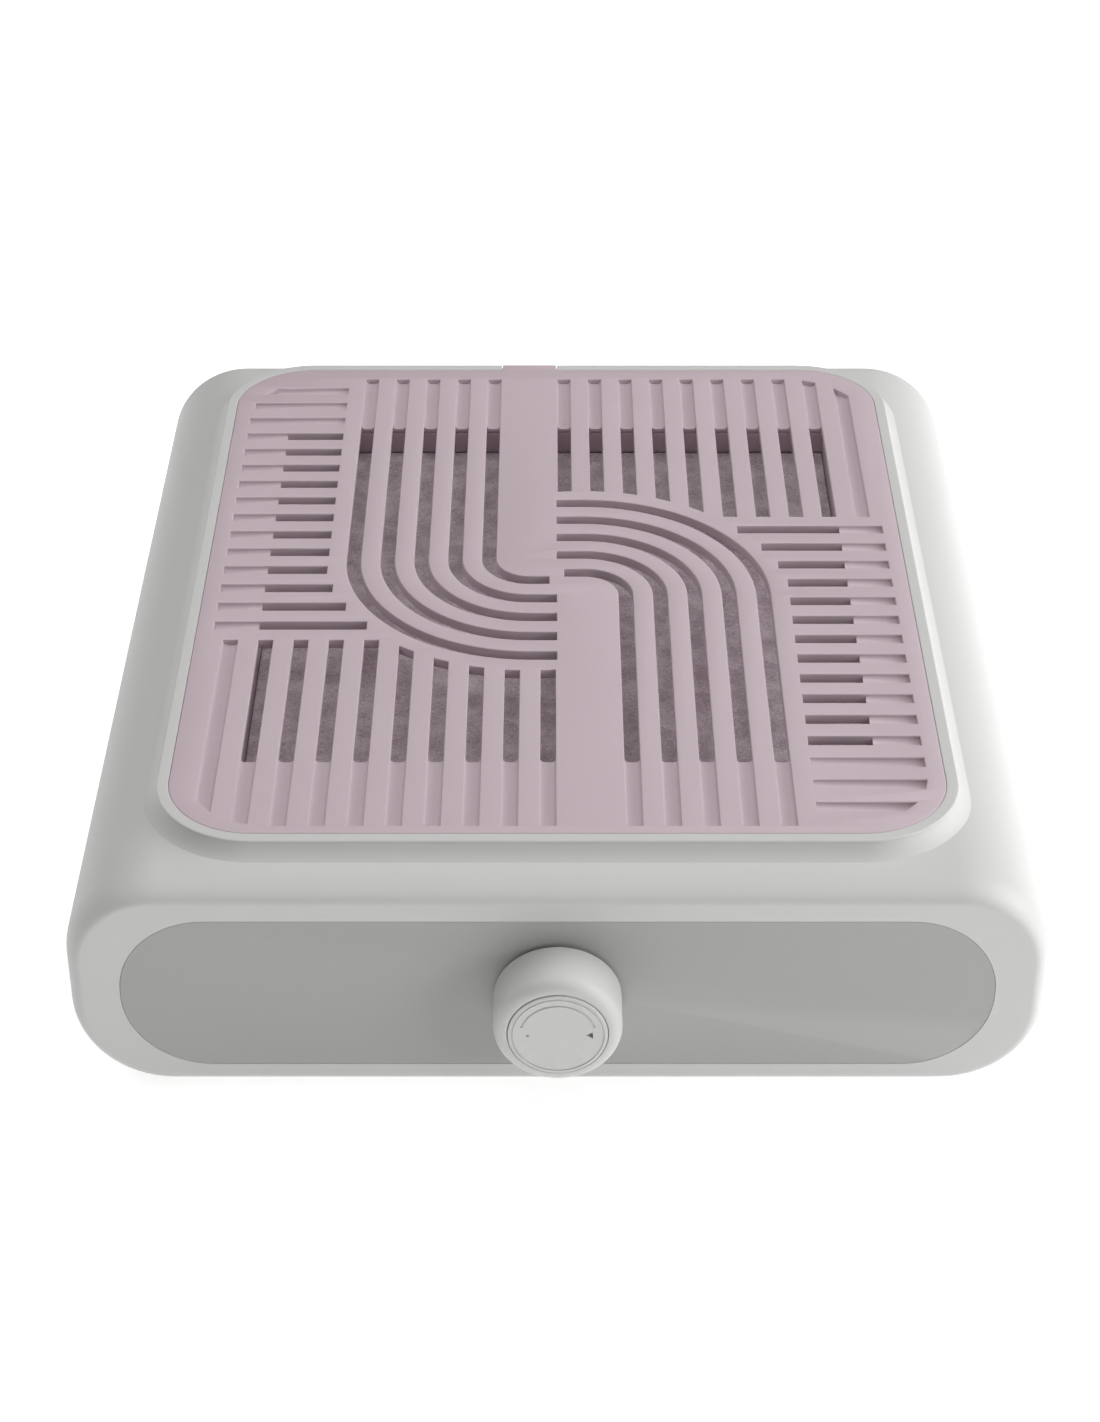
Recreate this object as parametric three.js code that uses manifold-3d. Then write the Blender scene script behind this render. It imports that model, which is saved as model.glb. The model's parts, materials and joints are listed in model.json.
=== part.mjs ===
// Desk-top nail dust collector: a hand rests on the slotted panel, a fan below it draws the
// filing dust through a lift-out filter, and the clean air leaves by slots in the rear wall.
// Millimetres, +Z up, front towards -Y.  Origin: bottom centre of the whole object.
import * as THREE from 'three';
import { mergeVertices } from 'three/addons/utils/BufferGeometryUtils.js';
import Module from 'manifold-3d';

const wasm = await Module();
wasm.setup();

// ---- driving dimensions -------------------------------------------------------------------
const PITCH = 9.8; // slot plus bar of the grille
const GAP = 0.3; // clearance between neighbouring pieces
const WALL = 2.6; // housing wall
const FOOT_HEIGHT = 2;

const BODY_HALF_WIDTH = 125.2;
const BODY_FRONT = -133.5;
const BODY_BACK = 149.5;
const BODY_TOP = 66.4; // shoulder round the raised table
const TABLE_TOP = 70.6; // raised table and grille
const TOP_RADIUS = 24.6;
const BOTTOM_RADIUS = 25.8;
const FRONT_WALL = 4.5;

const GRILLE_CENTRE = 7.5; // Y of the slot pattern's centre
const GRILLE_HALF_WIDTH = 100.5;
const GRILLE_FRONT = GRILLE_CENTRE - 122.4;
const GRILLE_BACK = GRILLE_CENTRE + 125.6;
const GRILLE_RADIUS = 23;
const GRILLE_THICKNESS = 3;
const RIM_WIDTH = 3.1;
const TAB_WIDTH = 1.75 * PITCH; // lift tab that crosses the rim at the back
const TAB_THICKNESS = 1.5;

const WINDOW_HALF_X = 8.52 * PITCH; // slots are open inside this window
const WINDOW_HALF_Y = 9.14 * PITCH;
const SKIRT_WALL = 1.6;
const WELL_HALF_X = WINDOW_HALF_X + SKIRT_WALL + 2 * GAP;
const WELL_HALF_Y = WINDOW_HALF_Y + SKIRT_WALL + 2 * GAP;
const WELL_WALL = 2;
const CEILING = 63.8; // underside of the housing's top wall

const FLEECE_TOP = 60.6;
const DECK_TOP = 41.7;
const DECK_BOTTOM = 39.4;
const DECK_HALF_X = 87.2;
const DECK_HALF_Y = WELL_HALF_Y + 10;

const BASE_BOTTOM = 2.3;
const BASE_TOP = 5.3;
const BASE_HALF_WIDTH = 98;
const BASE_FRONT = -121.5;
const BASE_BACK = 137.5;

const KNOB_AXIS_Z = 33.3;
const KNOB_RADIUS = 16.3;
const KNOB_CAP_RADIUS = 12.6;
const KNOB_FRONT = -149.5;
const PANEL_HALF_WIDTH = 111.2;
const PANEL_HALF_HEIGHT = 23.4;
const PANEL_RADIUS = 22.4;
const PANEL_THICKNESS = 1.6;

const IMPELLER_RADIUS = 62;
const IMPELLER_INNER = 45;
const IMPELLER_BOTTOM = 12;
const IMPELLER_TOP = 36.5;
const BLADE_COUNT = 20;
const SCROLL_RADIUS = 70;
const DUCT_HALF_WIDTH = 50;
const SCROLL_WALL = 2;
const SCROLL_BOTTOM = 8;
const DUCT_TOP = 36;
const SHAFT_RADIUS = 2;

const BASE_SCREW_X = 92.5;
const BASE_SCREW_Y = [-112, 8, 128];
const FOOT_PLACES = [[-76, -106], [76, -106], [-76, 122], [76, 122]];
const DECK_SCREW_PLACES = [-66, 66].flatMap((x) =>
  [-1, 1].map((side) => [x, GRILLE_CENTRE + side * (WELL_HALF_Y + 6)]));
const FAN_SCREW_PLACES = [-55.5, 55.5].flatMap((x) => [-55.5, 55.5].map((y) => [x, GRILLE_CENTRE + y]));
const BOARD_SCREW_X = 36;
const BOARD_Y = -106;
const BOARD_BOTTOM = 10;
const SOCKET_X = -78;
const SOCKET_Z = 22;

// ---- materials ----------------------------------------------------------------------------
const finish = (color, roughness = 0.6, metalness = 0) =>
  new THREE.MeshStandardMaterial({ color, roughness, metalness });
const SHELL_GREY = finish(0xc8c8c6, 0.5);
const PANEL_GREY = finish(0xa2a2a0, 0.45);
const LILAC = finish(0xbaaab1, 0.5);
const FLEECE_PINK = finish(0xdac8d0, 0.95);
const FRAME_WHITE = finish(0xe6e4e2, 0.6);
const FRAME_MAUVE = finish(0x8c7a82, 0.7);
const BLACK_PLASTIC = finish(0x26262a, 0.55);
const RUBBER = finish(0x3a3a3c, 0.9);
const FOAM = finish(0x55555a, 0.95);
const STEEL = finish(0xb8b8bc, 0.35, 1);
const COPPER = finish(0xb4703c, 0.4, 1);
const BOARD_GREEN = finish(0x1f5a38, 0.5);

// ---- solids and how they are joined --------------------------------------------------------
function solid(geometry) {
  geometry.deleteAttribute('normal');
  geometry.deleteAttribute('uv');
  const merged = mergeVertices(geometry, 1e-4);
  return new wasm.Manifold(new wasm.Mesh({
    numProp: 3,
    vertProperties: new Float32Array(merged.attributes.position.array),
    triVerts: new Uint32Array(merged.index.array),
  }));
}

function geometryOf(body) {
  const mesh = body.getMesh();
  const geometry = new THREE.BufferGeometry();
  geometry.setAttribute('position', new THREE.BufferAttribute(mesh.vertProperties, 3));
  geometry.setIndex(new THREE.BufferAttribute(mesh.triVerts, 1));
  return geometry;
}

const cut = (body, ...tools) => tools.reduce((rest, tool) => rest.subtract(tool), body);
const join = (...bodies) => bodies.reduce((all, body) => all.add(body));

function box(x0, x1, y0, y1, z0, z1) {
  const geometry = new THREE.BoxGeometry(x1 - x0, y1 - y0, z1 - z0);
  return solid(geometry.translate((x0 + x1) / 2, (y0 + y1) / 2, (z0 + z1) / 2));
}

function post(x, y, z0, z1, radius, sides = 16) {
  const geometry = new THREE.CylinderGeometry(radius, radius, z1 - z0, sides);
  return solid(geometry.rotateX(Math.PI / 2).translate(x, y, (z0 + z1) / 2));
}

// A turned piece: profile points [radius, height] end on the axis or close as a ring.  They are
// put in anticlockwise order, so that the faces point out.
function turned(profile, sides, place) {
  const points = profile.map(([radius, height]) => new THREE.Vector2(radius, height));
  if (THREE.ShapeUtils.area(points) < 0) {
    points.reverse();
  }
  const lathe = new THREE.LatheGeometry(points, sides);
  return solid(place(lathe.rotateX(Math.PI / 2)));
}
const upright = (x, y) => (geometry) => geometry.translate(x, y, 0);
const towardsFront = (geometry) => geometry.rotateX(Math.PI / 2).translate(0, 0, KNOB_AXIS_Z);

function ring(inner, outer, z0, z1) {
  return [[inner, z0], [outer, z0], [outer, z1], [inner, z1], [inner, z0]];
}

function rod(radius, z0, z1) {
  return [[0, z0], [radius, z0], [radius, z1], [0, z1]];
}

function roundedOutline(x0, x1, y0, y1, radius) {
  const shape = new THREE.Shape();
  shape.moveTo(x0 + radius, y0);
  shape.lineTo(x1 - radius, y0);
  shape.absarc(x1 - radius, y0 + radius, radius, -Math.PI / 2, 0);
  shape.lineTo(x1, y1 - radius);
  shape.absarc(x1 - radius, y1 - radius, radius, 0, Math.PI / 2);
  shape.lineTo(x0 + radius, y1);
  shape.absarc(x0 + radius, y1 - radius, radius, Math.PI / 2, Math.PI);
  shape.lineTo(x0, y0 + radius);
  shape.absarc(x0 + radius, y0 + radius, radius, Math.PI, Math.PI * 1.5);
  return shape;
}

function slab(shape, z0, z1, curveSegments = 6) {
  const options = { depth: z1 - z0, bevelEnabled: false, curveSegments };
  return solid(new THREE.ExtrudeGeometry(shape, options).translate(0, 0, z0));
}

const roundedSlab = (x0, x1, y0, y1, radius, z0, z1) =>
  slab(roundedOutline(x0, x1, y0, y1, radius), z0, z1);

// ---- housing ------------------------------------------------------------------------------
// The body's section across X, with soft top and bottom corners, inset all round.
function bodySection(inset) {
  const half = BODY_HALF_WIDTH - inset;
  const top = BODY_TOP - inset;
  const bottom = FOOT_HEIGHT + inset;
  const upper = TOP_RADIUS - inset;
  const lower = BOTTOM_RADIUS - inset;
  const shape = new THREE.Shape();
  shape.moveTo(-half + lower, bottom);
  shape.lineTo(half - lower, bottom);
  shape.absarc(half - lower, bottom + lower, lower, -Math.PI / 2, 0);
  shape.absarc(half - upper, top - upper, upper, 0, Math.PI / 2);
  shape.absarc(-half + upper, top - upper, upper, Math.PI / 2, Math.PI);
  shape.absarc(-half + lower, bottom + lower, lower, Math.PI, Math.PI * 1.5);
  return shape;
}

function rolledBlock(inset, y0, y1, edgeDepth, edgeInset) {
  const fineness = inset ? 4 : 6;
  const geometry = new THREE.ExtrudeGeometry(bodySection(inset), {
    depth: y1 - y0 - 2 * edgeDepth,
    bevelThickness: edgeDepth,
    bevelSize: edgeInset,
    bevelOffset: -edgeInset,
    bevelSegments: fineness / 2,
    curveSegments: fineness,
  });
  return solid(geometry.rotateX(Math.PI / 2).translate(0, y1 - edgeDepth, 0));
}

function bodyBlock(inset, frontInset) {
  const overrun = 40;
  const front = rolledBlock(inset, BODY_FRONT + frontInset, BODY_BACK + overrun, 9.4, 4.5);
  const back = rolledBlock(inset, BODY_FRONT - overrun, BODY_BACK - inset, 9.9, 9.9);
  return front.intersect(back);
}

function exhaustSlots() {
  const slots = [];
  for (let x = -48; x <= 48; x += 6) {
    slots.push(box(x - 1.6, x + 1.6, BODY_BACK - 20, BODY_BACK + 5, 11, 33));
  }
  return slots;
}

function upperHousing() {
  const rimReach = GAP + RIM_WIDTH;
  const table = roundedSlab(-GRILLE_HALF_WIDTH - rimReach, GRILLE_HALF_WIDTH + rimReach,
    GRILLE_FRONT - rimReach, GRILLE_BACK + rimReach, GRILLE_RADIUS + rimReach, 60, TABLE_TOP);
  const seat = roundedSlab(-GRILLE_HALF_WIDTH - GAP, GRILLE_HALF_WIDTH + GAP,
    GRILLE_FRONT - GAP, GRILLE_BACK + GAP, GRILLE_RADIUS + GAP,
    TABLE_TOP - GRILLE_THICKNESS - GAP, TABLE_TOP + 5);
  const tabNotch = box(-TAB_WIDTH - GAP, GAP, GRILLE_BACK - 1, GRILLE_BACK + 10,
    TABLE_TOP - TAB_THICKNESS - GAP, TABLE_TOP + 5);
  const wellOuter = box(-WELL_HALF_X - WELL_WALL, WELL_HALF_X + WELL_WALL,
    GRILLE_CENTRE - WELL_HALF_Y - WELL_WALL, GRILLE_CENTRE + WELL_HALF_Y + WELL_WALL,
    DECK_TOP + GAP, CEILING + 1);
  const well = box(-WELL_HALF_X, WELL_HALF_X, GRILLE_CENTRE - WELL_HALF_Y,
    GRILLE_CENTRE + WELL_HALF_Y, 30, TABLE_TOP + 5);
  const basePosts = BASE_SCREW_Y.flatMap((y) => [-1, 1].map((side) =>
    post(side * BASE_SCREW_X, y, BASE_TOP + GAP, CEILING + 1, 4, 10)));
  const deckPosts = DECK_SCREW_PLACES.map(([x, y]) =>
    post(x, y, DECK_TOP + GAP, CEILING + 1, 3.5, 8));
  const baseBores = BASE_SCREW_Y.flatMap((y) => [-1, 1].map((side) =>
    post(side * BASE_SCREW_X, y, 0, 20, 1.9, 6)));
  const deckBores = DECK_SCREW_PLACES.map(([x, y]) => post(x, y, 30, 52, 1.8, 6));
  const baseOpening = roundedSlab(-BASE_HALF_WIDTH - GAP, BASE_HALF_WIDTH + GAP,
    BASE_FRONT - GAP, BASE_BACK + GAP, 8, 0, 5);
  const panelSeat = frontSlab(PANEL_HALF_WIDTH + GAP, PANEL_HALF_HEIGHT + GAP,
    PANEL_RADIUS + GAP, BODY_FRONT - 5, BODY_FRONT + PANEL_THICKNESS + GAP);
  const potHole = acrossHole(5, BODY_FRONT - 5, BODY_FRONT + 12);
  const socketHole = solid(new THREE.CylinderGeometry(6.3, 6.3, 30, 16)
    .translate(SOCKET_X, BODY_BACK, SOCKET_Z));
  const shell = bodyBlock(0, 0).add(table);
  const hollow = bodyBlock(WALL, FRONT_WALL);
  return cut(
    join(cut(shell, hollow), ...[wellOuter, ...basePosts, ...deckPosts]
      .map((piece) => piece.intersect(shell))),
    seat, tabNotch, well, baseOpening, panelSeat, potHole, socketHole, ...baseBores, ...deckBores,
    ...exhaustSlots());
}

// A rounded plate standing in the front face, between y0 and y1.
function frontSlab(halfWidth, halfHeight, radius, y0, y1) {
  const outline = roundedOutline(-halfWidth, halfWidth, KNOB_AXIS_Z - halfHeight,
    KNOB_AXIS_Z + halfHeight, radius);
  const options = { depth: y1 - y0, bevelEnabled: false, curveSegments: 6 };
  return solid(new THREE.ExtrudeGeometry(outline, options)
    .rotateX(Math.PI / 2).translate(0, y1, 0));
}

const acrossHole = (radius, y0, y1) =>
  solid(new THREE.CylinderGeometry(radius, radius, y1 - y0, 16)
    .translate(0, (y0 + y1) / 2, KNOB_AXIS_Z));

function frontPanel() {
  return frontSlab(PANEL_HALF_WIDTH, PANEL_HALF_HEIGHT, PANEL_RADIUS,
    BODY_FRONT, BODY_FRONT + PANEL_THICKNESS).subtract(acrossHole(5, -150, -120));
}

function basePlate() {
  const plate = roundedSlab(-BASE_HALF_WIDTH, BASE_HALF_WIDTH, BASE_FRONT, BASE_BACK, 8,
    BASE_BOTTOM, BASE_TOP);
  const counterbores = BASE_SCREW_Y.flatMap((y) => [-1, 1].flatMap((side) => [
    post(side * BASE_SCREW_X, y, 0, BASE_BOTTOM + 2, 3.9, 12),
    post(side * BASE_SCREW_X, y, 0, 10, 1.9, 6)]));
  const footHoles = FOOT_PLACES.map(([x, y]) => post(x, y, 0, 10, 2.9, 8));
  const fanPosts = FAN_SCREW_PLACES.map(([x, y]) => post(x, y, BASE_TOP - 1, 7.7, 4, 8));
  const fanBores = FAN_SCREW_PLACES.map(([x, y]) => post(x, y, 4, 10, 1.7, 6));
  const boardPosts = [-1, 1].map((side) =>
    post(side * BOARD_SCREW_X, BOARD_Y, BASE_TOP - 1, BOARD_BOTTOM - GAP, 4, 8));
  const boardBores = [-1, 1].map((side) => post(side * BOARD_SCREW_X, BOARD_Y, 4, 12, 1.7, 6));
  return cut(join(plate, ...fanPosts, ...boardPosts), ...counterbores, ...footHoles,
    ...fanBores, ...boardBores);
}

function foot([x, y]) {
  const profile = [[0, 0], [7.4, 0], [8, 0.6], [8, FOOT_HEIGHT], [2.5, FOOT_HEIGHT],
    [2.5, BASE_TOP], [0, BASE_TOP]];
  return turned(profile, 16, upright(x, y));
}

function baseScrew([x, y]) {
  const profile = [[0, 2.6], [3.5, 2.6], [3.5, 4], [1.5, 4], [1.5, 17], [0, 18]];
  return turned(profile, 8, upright(x, y));
}

// ---- grille -------------------------------------------------------------------------------
const STRIP = 0.25; // half a slot, in pitches
const TURN_CENTRE = [-0.8, 1]; // centre of the bends, in pitches
const SLOT_END = 12.17;
const SLOT_SIDE = 9.79;
const SLOT_CORNER = 2.3; // radius that clips the pattern's corners, in pitches
const bars = (count) => Array.from({ length: count }, (_, index) => index);

const plainSlot = (x0, x1, y0, y1) => {
  const shape = new THREE.Shape();
  shape.moveTo(x0, y0);
  shape.lineTo(x1, y0);
  shape.lineTo(x1, y1);
  shape.lineTo(x0, y1);
  return shape;
};

// A slot that comes down from the back, turns a quarter and ends beside the centre line.
function bentSlot(index) {
  const [cx, cy] = TURN_CENTRE;
  const radius = index + 0.2;
  const end = index === 1 ? -0.22 : 0;
  const shape = new THREE.Shape();
  shape.moveTo(cx - radius - STRIP, SLOT_END);
  shape.lineTo(cx - radius - STRIP, cy);
  shape.absarc(cx, cy, radius + STRIP, Math.PI, Math.PI * 1.5);
  shape.lineTo(end, cy - radius - STRIP);
  shape.lineTo(end, cy - radius + STRIP);
  shape.lineTo(cx, cy - radius + STRIP);
  shape.absarc(cx, cy, radius - STRIP, Math.PI * 1.5, Math.PI, true);
  shape.lineTo(cx - radius + STRIP, SLOT_END);
  return shape;
}

// The front-left slots stop short of the outermost bend.
function frontSlot(index) {
  const x = -(index + 0.25);
  const reach = 5.95 ** 2 - (x - TURN_CENTRE[0]) ** 2;
  const arcTop = reach > 0 ? TURN_CENTRE[1] - Math.sqrt(reach) : 0;
  return plainSlot(x - STRIP, x + STRIP, -SLOT_END, Math.min(-3.4, arcTop));
}

function sideSlot(index) {
  const y = -2.65 + index;
  const right = index < 3 ? [-5.43, -6.09, -6.53][index] : -6.75;
  return plainSlot(-SLOT_SIDE, right, y - STRIP, y + STRIP);
}

function halfPattern() {
  return [
    ...bars(5).map((index) => bentSlot(index + 1)),
    ...bars(10).map(frontSlot),
    ...bars(15).map(sideSlot),
  ];
}

function slotCutter(shape, turn, z0, z1) {
  const options = { depth: z1 - z0, bevelEnabled: false, curveSegments: 4 };
  const geometry = new THREE.ExtrudeGeometry(shape, options);
  geometry.scale(PITCH, PITCH, 1).rotateZ(turn).translate(0, GRILLE_CENTRE, z0);
  return solid(geometry);
}

function grillePanel() {
  const underside = TABLE_TOP - GRILLE_THICKNESS;
  const plate = roundedSlab(-GRILLE_HALF_WIDTH, GRILLE_HALF_WIDTH, GRILLE_FRONT, GRILLE_BACK,
    GRILLE_RADIUS, underside, TABLE_TOP);
  const skirtOuter = box(-WINDOW_HALF_X - SKIRT_WALL, WINDOW_HALF_X + SKIRT_WALL,
    GRILLE_CENTRE - WINDOW_HALF_Y - SKIRT_WALL, GRILLE_CENTRE + WINDOW_HALF_Y + SKIRT_WALL,
    FLEECE_TOP + GAP, underside + 1);
  const plenum = box(-WINDOW_HALF_X, WINDOW_HALF_X, GRILLE_CENTRE - WINDOW_HALF_Y,
    GRILLE_CENTRE + WINDOW_HALF_Y, 50, underside);
  const window = box(-WINDOW_HALF_X, WINDOW_HALF_X, GRILLE_CENTRE - WINDOW_HALF_Y,
    GRILLE_CENTRE + WINDOW_HALF_Y, 50, 80);
  const reachX = SLOT_SIDE * PITCH;
  const reachY = SLOT_END * PITCH;
  const clip = roundedSlab(-reachX, reachX, GRILLE_CENTRE - reachY, GRILLE_CENTRE + reachY,
    SLOT_CORNER * PITCH, 50, 80);
  let through;
  let grooves;
  for (const turn of [0, Math.PI]) {
    for (const shape of halfPattern()) {
      const deep = slotCutter(shape, turn, 60, 80).intersect(window);
      const shallow = slotCutter(shape, turn, TABLE_TOP - 1.4, 80);
      through = through ? through.add(deep) : deep;
      grooves = grooves ? grooves.add(shallow) : shallow;
    }
  }
  const tab = box(-TAB_WIDTH, 0, GRILLE_BACK - 1, GRILLE_BACK + GAP + RIM_WIDTH,
    TABLE_TOP - TAB_THICKNESS, TABLE_TOP);
  return cut(join(plate, skirtOuter, tab), plenum, through, grooves.intersect(clip));
}

// ---- filter -------------------------------------------------------------------------------
const FILTER_HALF_X = WELL_HALF_X - 0.4;
const FILTER_HALF_Y = WELL_HALF_Y - 0.4;
const FILTER_WALL = 2;
const FRAME_BOTTOM = 44;
const FRAME_TOP = 60.3;
const FLEECE_BOTTOM = 57.9;

function centredBox(halfX, halfY, z0, z1) {
  return box(-halfX, halfX, GRILLE_CENTRE - halfY, GRILLE_CENTRE + halfY, z0, z1);
}

function filterFrame() {
  return cut(centredBox(FILTER_HALF_X, FILTER_HALF_Y, FRAME_BOTTOM, FRAME_TOP),
    centredBox(FILTER_HALF_X - FILTER_WALL, FILTER_HALF_Y - FILTER_WALL,
      FRAME_BOTTOM + 1.5, FRAME_TOP + 1),
    centredBox(FILTER_HALF_X - 7, FILTER_HALF_Y - 7, FRAME_BOTTOM - 1, FRAME_TOP));
}

function filterFleece() {
  return centredBox(FILTER_HALF_X - FILTER_WALL - GAP, FILTER_HALF_Y - FILTER_WALL - GAP,
    FLEECE_BOTTOM, FLEECE_TOP);
}

// Pleated paper: a zig-zag of even thickness drawn out along X.
function filterPleats() {
  const pleats = 30;
  const reach = FILTER_HALF_Y - FILTER_WALL - GAP;
  const step = reach / pleats;
  const low = FRAME_BOTTOM + 1.5 + GAP;
  const high = FLEECE_BOTTOM - GAP;
  const paper = 1.2;
  const shape = new THREE.Shape();
  shape.moveTo(-reach, low);
  for (let fold = 1; fold <= 2 * pleats; fold += 1) {
    shape.lineTo(-reach + fold * step, fold % 2 ? high - paper : low);
  }
  for (let fold = 2 * pleats; fold >= 0; fold -= 1) {
    shape.lineTo(-reach + fold * step, fold % 2 ? high : low + paper);
  }
  const width = 2 * (FILTER_HALF_X - FILTER_WALL - GAP);
  const geometry = new THREE.ExtrudeGeometry(shape, { depth: width, bevelEnabled: false });
  geometry.rotateX(Math.PI / 2).rotateZ(Math.PI / 2);
  return solid(geometry.translate(-width / 2, GRILLE_CENTRE, 0));
}

function filterGasket() {
  return cut(centredBox(FILTER_HALF_X, FILTER_HALF_Y, DECK_TOP + GAP, FRAME_BOTTOM - GAP),
    centredBox(FILTER_HALF_X - 7, FILTER_HALF_Y - 7, DECK_TOP, FRAME_BOTTOM));
}

// ---- fan ----------------------------------------------------------------------------------
const atFan = upright(0, GRILLE_CENTRE);

function fanDeck() {
  const inlet = 48;
  const plate = centredBox(DECK_HALF_X, DECK_HALF_Y, DECK_BOTTOM, DECK_TOP);
  const hole = post(0, GRILLE_CENTRE, 30, 50, inlet, 24);
  const bores = DECK_SCREW_PLACES.map(([x, y]) => post(x, y, 30, 50, 1.9, 8));
  const guards = [14, 31].map((radius) =>
    turned(ring(radius, radius + 1.8, DECK_BOTTOM, DECK_TOP), 24, atFan));
  const spokes = [0, 1, 2].map((index) => {
    const bar = new THREE.BoxGeometry(2 * inlet + 2, 2, DECK_TOP - DECK_BOTTOM);
    bar.rotateZ((index * Math.PI) / 3);
    return solid(bar.translate(0, GRILLE_CENTRE, (DECK_TOP + DECK_BOTTOM) / 2));
  });
  return cut(join(cut(plate, hole), ...guards, ...spokes), ...bores);
}

function plenumBlock(grow, z0, z1, back) {
  return post(0, GRILLE_CENTRE, z0, z1, SCROLL_RADIUS + grow, 32)
    .add(box(-DUCT_HALF_WIDTH - grow, DUCT_HALF_WIDTH + grow, GRILLE_CENTRE, back, z0, z1));
}

function fanHousing() {
  const back = BODY_BACK - WALL - GAP;
  const duct = box(-DUCT_HALF_WIDTH - SCROLL_WALL, DUCT_HALF_WIDTH + SCROLL_WALL,
    GRILLE_CENTRE, back - 9, SCROLL_BOTTOM, DUCT_TOP);
  const drum = post(0, GRILLE_CENTRE, SCROLL_BOTTOM, DECK_BOTTOM - GAP,
    SCROLL_RADIUS + SCROLL_WALL, 32);
  const inside = plenumBlock(0, SCROLL_BOTTOM + 2, DUCT_TOP - 2, back + 1);
  const top = post(0, GRILLE_CENTRE, SCROLL_BOTTOM + 2, 60, SCROLL_RADIUS, 32);
  const motorHole = post(0, GRILLE_CENTRE, 0, 20, 8.3, 24);
  const bores = FAN_SCREW_PLACES.map(([x, y]) => post(x, y, 0, 20, 1.9, 8));
  const ears = FAN_SCREW_PLACES.map(([x, y]) => post(x, y, SCROLL_BOTTOM, SCROLL_BOTTOM + 2, 7.5, 10));
  return cut(join(drum, duct, ...ears), inside, top, motorHole, ...bores);
}

function impeller() {
  const disc = turned(ring(24.3, IMPELLER_RADIUS, IMPELLER_BOTTOM, IMPELLER_BOTTOM + 1.6),
    30, atFan);
  const shroud = turned(ring(IMPELLER_INNER + 8, IMPELLER_RADIUS, IMPELLER_TOP - 1.6,
    IMPELLER_TOP), 30, atFan);
  const blades = bars(BLADE_COUNT).map((index) => {
    const blade = new THREE.BoxGeometry(IMPELLER_RADIUS - IMPELLER_INNER, 1.2,
      IMPELLER_TOP - IMPELLER_BOTTOM - 1);
    blade.rotateZ(0.5).translate((IMPELLER_RADIUS + IMPELLER_INNER) / 2 - 1.2, 0,
      (IMPELLER_TOP + IMPELLER_BOTTOM) / 2);
    blade.rotateZ((index * 2 * Math.PI) / BLADE_COUNT);
    return solid(blade.translate(0, GRILLE_CENTRE, 0));
  });
  return join(disc, shroud, ...blades);
}

const rotorCup = () => turned([[SHAFT_RADIUS + GAP, 29], [24, 29], [24, 13], [22.4, 13],
  [22.4, 27.4], [5, 27.4], [5, 24.6], [SHAFT_RADIUS + GAP, 24.6], [SHAFT_RADIUS + GAP, 29]],
24, atFan);
const magnetRing = () => turned(ring(20.2, 22, 14, 26.4), 24, atFan);
const motorShaft = () => turned(rod(SHAFT_RADIUS, 9, 31), 12, atFan);
const shaftClip = () => turned(ring(SHAFT_RADIUS + GAP, 3.8, 29.3, 30.3), 12, atFan);
const bearing = (z0) => turned(ring(SHAFT_RADIUS + GAP, 4.8, z0, z0 + 3.4), 16, atFan);

function bearingTube() {
  const profile = [[5.2, 6.2], [14, 6.2], [14, 7.7], [8, 7.7], [8, 24], [5.2, 24], [5.2, 6.2]];
  return turned(profile, 16, atFan);
}

function statorCore() {
  const core = turned(ring(8.5, 11.5, 13.4, 24), 16, atFan);
  const teeth = bars(9).map((index) => {
    const tooth = new THREE.BoxGeometry(8.6, 4.6, 8);
    tooth.translate(15.2, 0, 18.7).rotateZ((index * 2 * Math.PI) / 9);
    return solid(tooth.translate(0, GRILLE_CENTRE, 0));
  });
  return join(core, ...teeth);
}

function panScrew(x, y, headBottom, headDown, length) {
  const head = headDown
    ? [[0, headBottom], [3, headBottom], [3, headBottom + 1.8], [1.4, headBottom + 1.8],
      [1.4, headBottom + length], [0, headBottom + length]]
    : [[0, headBottom - length], [1.4, headBottom - length], [1.4, headBottom],
      [3, headBottom], [3, headBottom + 1.8], [0, headBottom + 1.8]];
  return turned(head, 8, upright(x, y));
}

// ---- speed control ------------------------------------------------------------------------
function knobBody() {
  const back = BODY_FRONT - 0.6;
  const profile = [[3.1, back - 4.2], [3.1, KNOB_FRONT + 4], [0, KNOB_FRONT + 4],
    [0, KNOB_FRONT + 1.9], [KNOB_CAP_RADIUS + GAP, KNOB_FRONT + 1.9],
    [KNOB_CAP_RADIUS + GAP, KNOB_FRONT + 0.2], [14.2, KNOB_FRONT + 0.8],
    [15.6, KNOB_FRONT + 2], [KNOB_RADIUS, KNOB_FRONT + 3.7], [KNOB_RADIUS, back],
    [9.5, back], [9.5, back - 4.2], [3.1, back - 4.2]];
  return turned(profile.map(([radius, y]) => [radius, -y]), 28, towardsFront);
}

function knobCap() {
  const profile = rod(KNOB_CAP_RADIUS, KNOB_FRONT, KNOB_FRONT + 1.6);
  return turned(profile.map(([radius, y]) => [radius, -y]), 28, towardsFront);
}

function potentiometerShaft() {
  const profile = rod(2.8, KNOB_FRONT + 4.4, -128);
  return turned(profile.map(([radius, y]) => [radius, -y]), 12, towardsFront);
}

function potentiometer() {
  const wall = BODY_FRONT + FRONT_WALL + GAP;
  const profile = [[3.1, -137.2], [4.7, -137.2], [4.7, wall], [8.5, wall], [8.5, wall + 8],
    [0, wall + 8], [0, wall + 2], [3.1, wall + 2], [3.1, -137.2]];
  return turned(profile.map(([radius, y]) => [radius, -y]), 16, towardsFront);
}

// A hexagonal nut between two heights on its axis, with a round hole.
function hexNut(hole, radius, z0, z1, place) {
  return turned(rod(radius, z0, z1), 6, place).subtract(turned(rod(hole, z0 - 1, z1 + 1), 16, place));
}

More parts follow.
